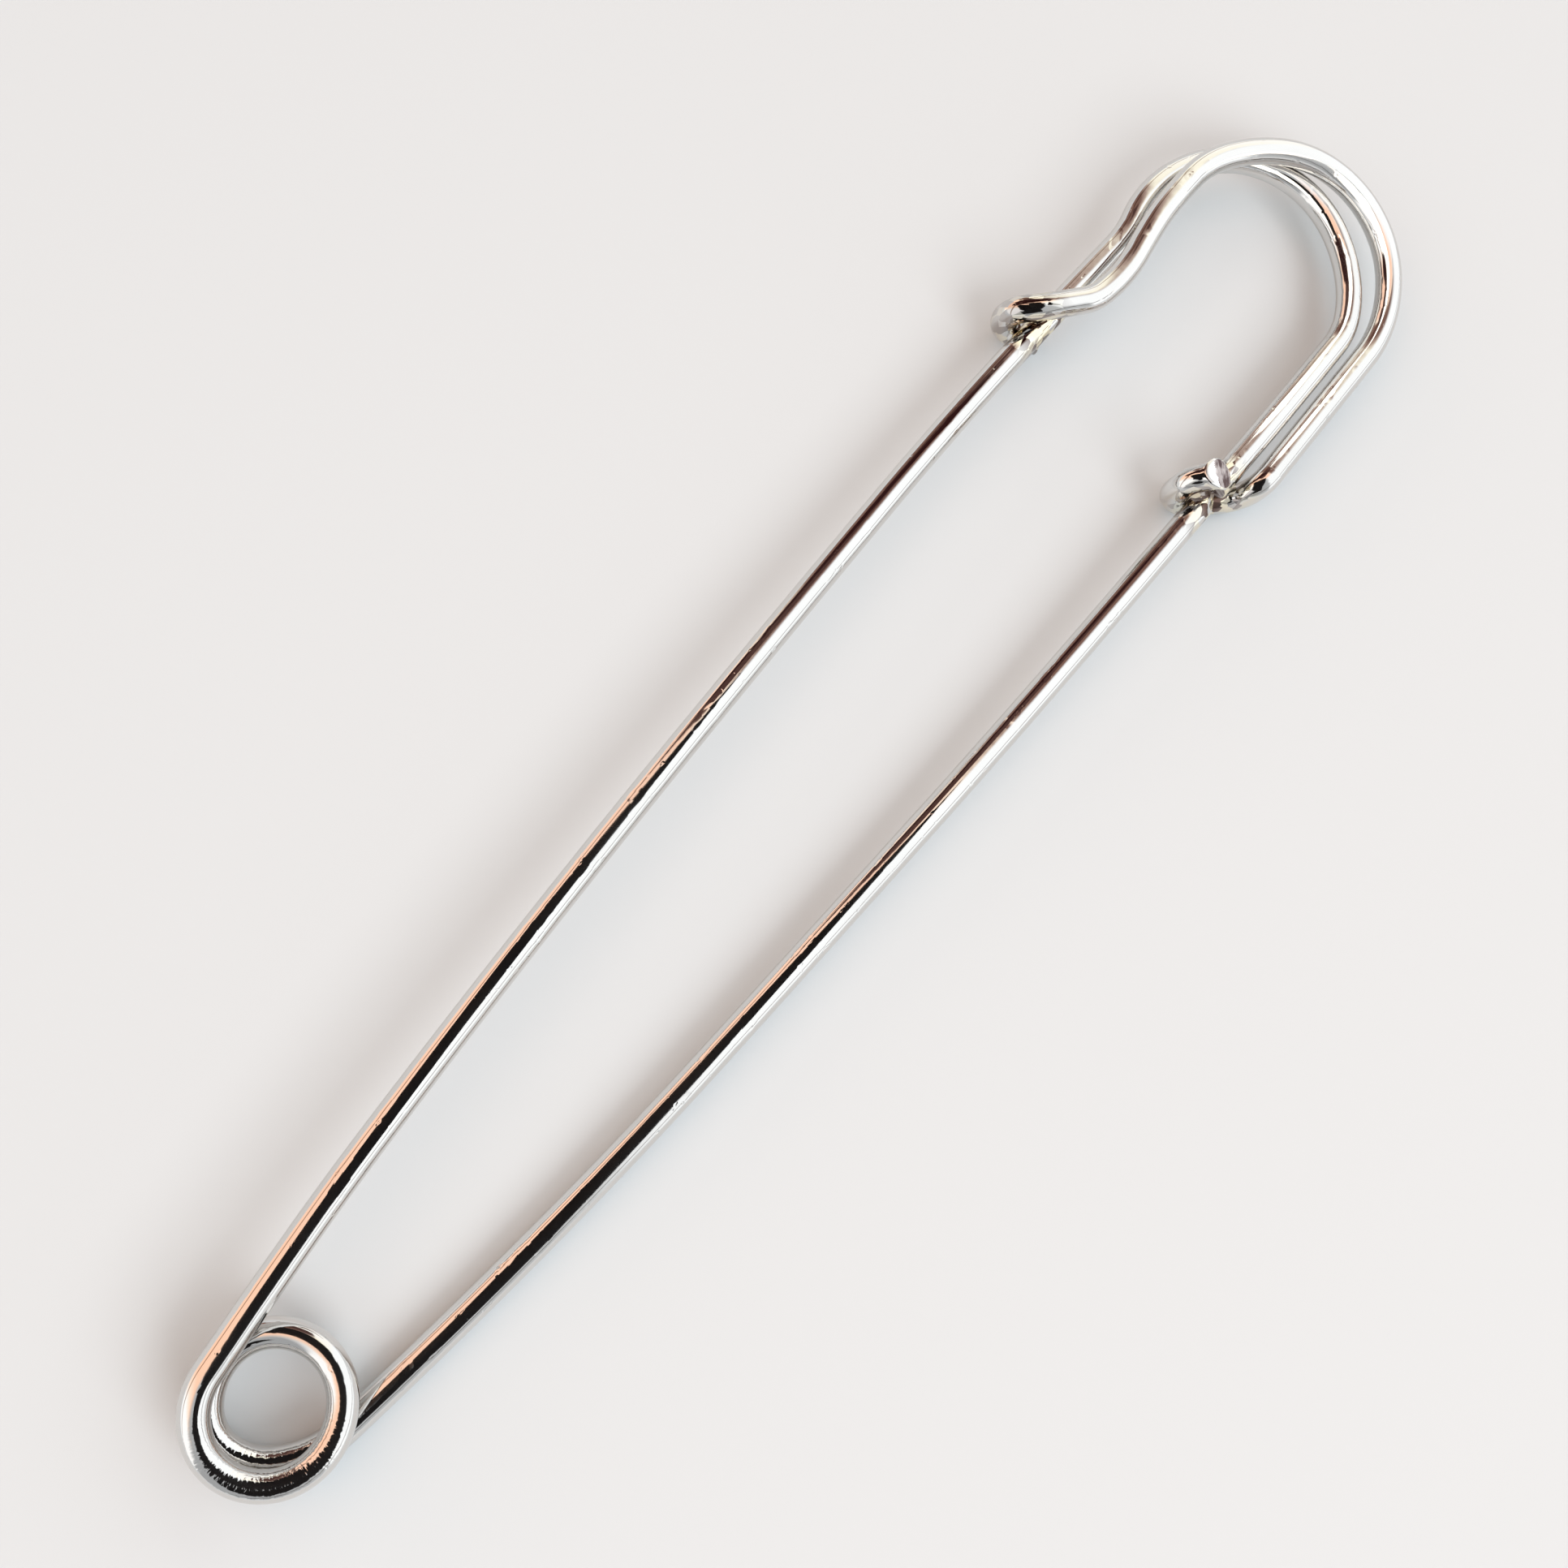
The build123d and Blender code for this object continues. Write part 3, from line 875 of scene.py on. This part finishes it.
def pointed_wire(name, places, runs, tip, start_length):
    """Round wire with a ground point: at each ring the round section is cut by a square.

    The square's half width falls from the wire's radius to half the tip's width, and a point at
    the angle a is no further out than that half width / max(|cos b|, |sin b|), with b = a - 45
    degrees. What the square cuts is shaded flat.
    """
    out, angle = section_points(runs, upright)
    share = np.linspace(0.0, 1.0, point_steps + 1)[1:]
    half = wire_radius + (point_tip_width / 2 - wire_radius) * share
    turned = angle - math.pi / 4
    square = np.maximum(np.abs(np.cos(turned)), np.abs(np.sin(turned)))
    width = np.minimum(wire_radius, half[:, None] / square)
    middle = places[-1] + share[:, None] * (tip - places[-1])
    point = middle[:, None] + width[:, :, None] * out[-1]
    body = places[:, None] + wire_radius * out
    rings = np.concatenate([body, point])
    swept = start_length + wire_length(places)
    length = np.concatenate([swept, swept[-1] + share * point_length])
    widths = np.concatenate([np.full((len(places), ring_sides), wire_radius), width])
    straightened = straight_place(angle, length, widths)
    marked = np.zeros((len(rings) - 1, ring_sides), dtype=int)
    ground = width < wire_radius * uncut_share
    marked[len(places) - 1:] = ground & np.roll(ground, -1, axis=1)
    return wire_mesh(name, rings, straightened, [bright_plating, ground_plating], marked)


pin_wire = pointed_wire("pin_wire", *axis_of(pin_arm_knots), pin_tip[0],
                        wire_length(coil_axis[0])[-1])
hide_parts("pin_arm")
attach(pin_wire, "pin")

# Guard wrap
# The guard wire is a second length of the same wire, plated before it was wound on. It starts
# hidden under the fixed arm, takes half a turn round it, leans back over it and bends low beside
# it. Only its own spring grips the arm.
saddle_run = 5.25 * mm
saddle_drop = 1.96 * mm
saddle_length = 5.6 * mm
saddle_rise = 0.85 * mm
wrap_gap = 0.29 * mm
wrap_lean = 2.49 * mm
wrap_under_lean = 1.05 * mm
wrap_tail = 0.7 * mm
wrap_leg = 2.1 * mm
wrap_heading = 145.6
wrap_side_heading = 30.0
wrap_side_slope = 85.0
wrap_under_heading = 118.0
saddle_heading = 9.5
wrap_across_heading = 40.0
guard_start_length = 400 * mm

wrap_top = knot(wrap_reach, arm_offset, top_level, wrap_heading + 180.0)
wrap_side = knot(wrap_reach - wrap_lean, arm_offset + wire_diameter + wrap_gap, middle_level,
                 wrap_side_heading, wrap_side_slope)
wrap_under = knot(wrap_reach - wrap_under_lean, arm_offset, low_level, wrap_under_heading)
saddle_low = knot(wrap_reach + saddle_run, arm_offset - saddle_drop, top_level, 0.0)
wrap_knots = [reversed_knot(place) for place in (
    saddle_low, ahead(wrap_top, wrap_leg), wrap_top, wrap_side, wrap_under,
    ahead(wrap_under, -wrap_tail))]
wrap_across = knot(0, 0, 0, wrap_across_heading)[1]
guard_wrap_wire = cut_wire("guard_wrap_wire", *axis_of(wrap_knots), across=wrap_across,
                           start_length=guard_start_length, sense=-1)
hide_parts("guard_wrap")
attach(guard_wrap_wire, "frame")

# Outer bow
# The guard wire rises from the low bend, crosses over the main wire at the shoulder and again
# at the head's corner, and comes down beside the inner bow to run along the inner strand.
outer_top_setback = 7.85 * mm
outer_top_drop = 1.65 * mm
crossing_setback = 0.85 * mm
crossing_drop = 3.35 * mm
outer_bow_gap = 0.2 * mm
outer_bow_lift = 1.1 * mm
outer_middle_drop = 2.8 * mm
strand_gap = 0.37 * mm
outer_strand_lead = 1.0 * mm
hook_lead = 4.3 * mm
hook_strand_drop = 0.42 * mm
crossing_heading = -45.0
crossing_slope = -2.0
bow_fall_slope = -7.0

outer_top_y = peak_offset - outer_top_drop
outer_strand_y = strand_y - wire_diameter - strand_gap
saddle_end = knot(wrap_reach + saddle_run + saddle_length, arm_offset - saddle_drop + saddle_rise,
                  top_level, saddle_heading)
strand_end = knot(pin_reach + hook_lead, outer_strand_y - hook_strand_drop, middle_level,
                  strand_heading)
outer_bow_knots = [
    saddle_low,
    saddle_end,
    knot(bow_reach - outer_top_setback, outer_top_y, top_level, 0.0),
    knot(bow_reach - crossing_setback, outer_top_y - crossing_drop, top_level, crossing_heading,
         crossing_slope),
    knot(bow_reach + wire_diameter + outer_bow_gap, bow_middle_offset - outer_middle_drop,
         middle_level + outer_bow_lift, -90.0, bow_fall_slope),
    knot(strand_start_reach + outer_strand_lead, outer_strand_y, middle_level, strand_heading),
    strand_end,
]
outer_bow_axis = axis_of(outer_bow_knots)
outer_bow_wire = plain_wire("outer_bow_wire", *outer_bow_axis, start_length=guard_start_length)
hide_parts("outer_bow")
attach(outer_bow_wire, "frame")

# Catch hook
# The guard wire's other end dives under the point, curls up its far side and lies back over it.
# It was sheared off at a lean, which spread its end and left a burnished bevel over a torn face.
hook_end_aside = 0.47 * mm
hook_lip = 1.85 * mm
hook_under_leg = 2.2 * mm
hook_skew = 0.4 * mm
hook_heading = 138.5
hook_lip_slope = 30.0
hook_cut_lean = 31.0
hook_cut_setback = 0.14 * mm
hook_bevel_lean = 54.0
hook_bevel_past = 0.21 * mm
hook_lean_length = 1.7 * mm
hook_end_spread = 0.27
curl_radius = (top_level - low_level) / 2

lip_angle = math.radians(hook_lip_slope)
hook_end = knot(pin_reach, -pin_offset + hook_end_aside,
                middle_level + curl_radius * math.cos(lip_angle) + hook_lip * math.sin(lip_angle),
                hook_heading + 180.0, hook_lip_slope)
lip_start = ahead(hook_end, -hook_lip)
hook_out = knot(0, 0, 0, hook_heading)[1]
hook_aside = knot(0, 0, 0, hook_heading + 90.0)[1] * hook_skew
hook_middle = lip_start[0] - hook_out * curl_radius * math.sin(lip_angle)
hook_middle[2] = middle_level
hook_side = (hook_middle + hook_out * curl_radius + hook_aside / 2, upright)
hook_low = (hook_middle - upright * curl_radius + hook_aside, hook_out)
hook_knots = [
    strand_end, ahead(hook_low, -hook_under_leg), hook_low, hook_side, lip_start, hook_end,
]
cut_normal = knot(0, 0, 0, hook_heading + 180.0, hook_lip_slope + hook_cut_lean)[1]
bevel_normal = knot(0, 0, 0, hook_heading + 180.0, hook_lip_slope + hook_bevel_lean)[1]
hook_across = knot(0, 0, 0, hook_heading - 90.0)[1]
catch_hook_wire = cut_wire("catch_hook_wire", *axis_of(hook_knots), across=hook_across,
                           start_length=guard_start_length + wire_length(outer_bow_axis[0])[-1],
                           cuts=[(cut_normal, -hook_cut_setback), (bevel_normal, hook_bevel_past)],
                           lean_length=hook_lean_length, spread=hook_end_spread)
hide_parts("catch_hook")
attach(catch_hook_wire, "frame")
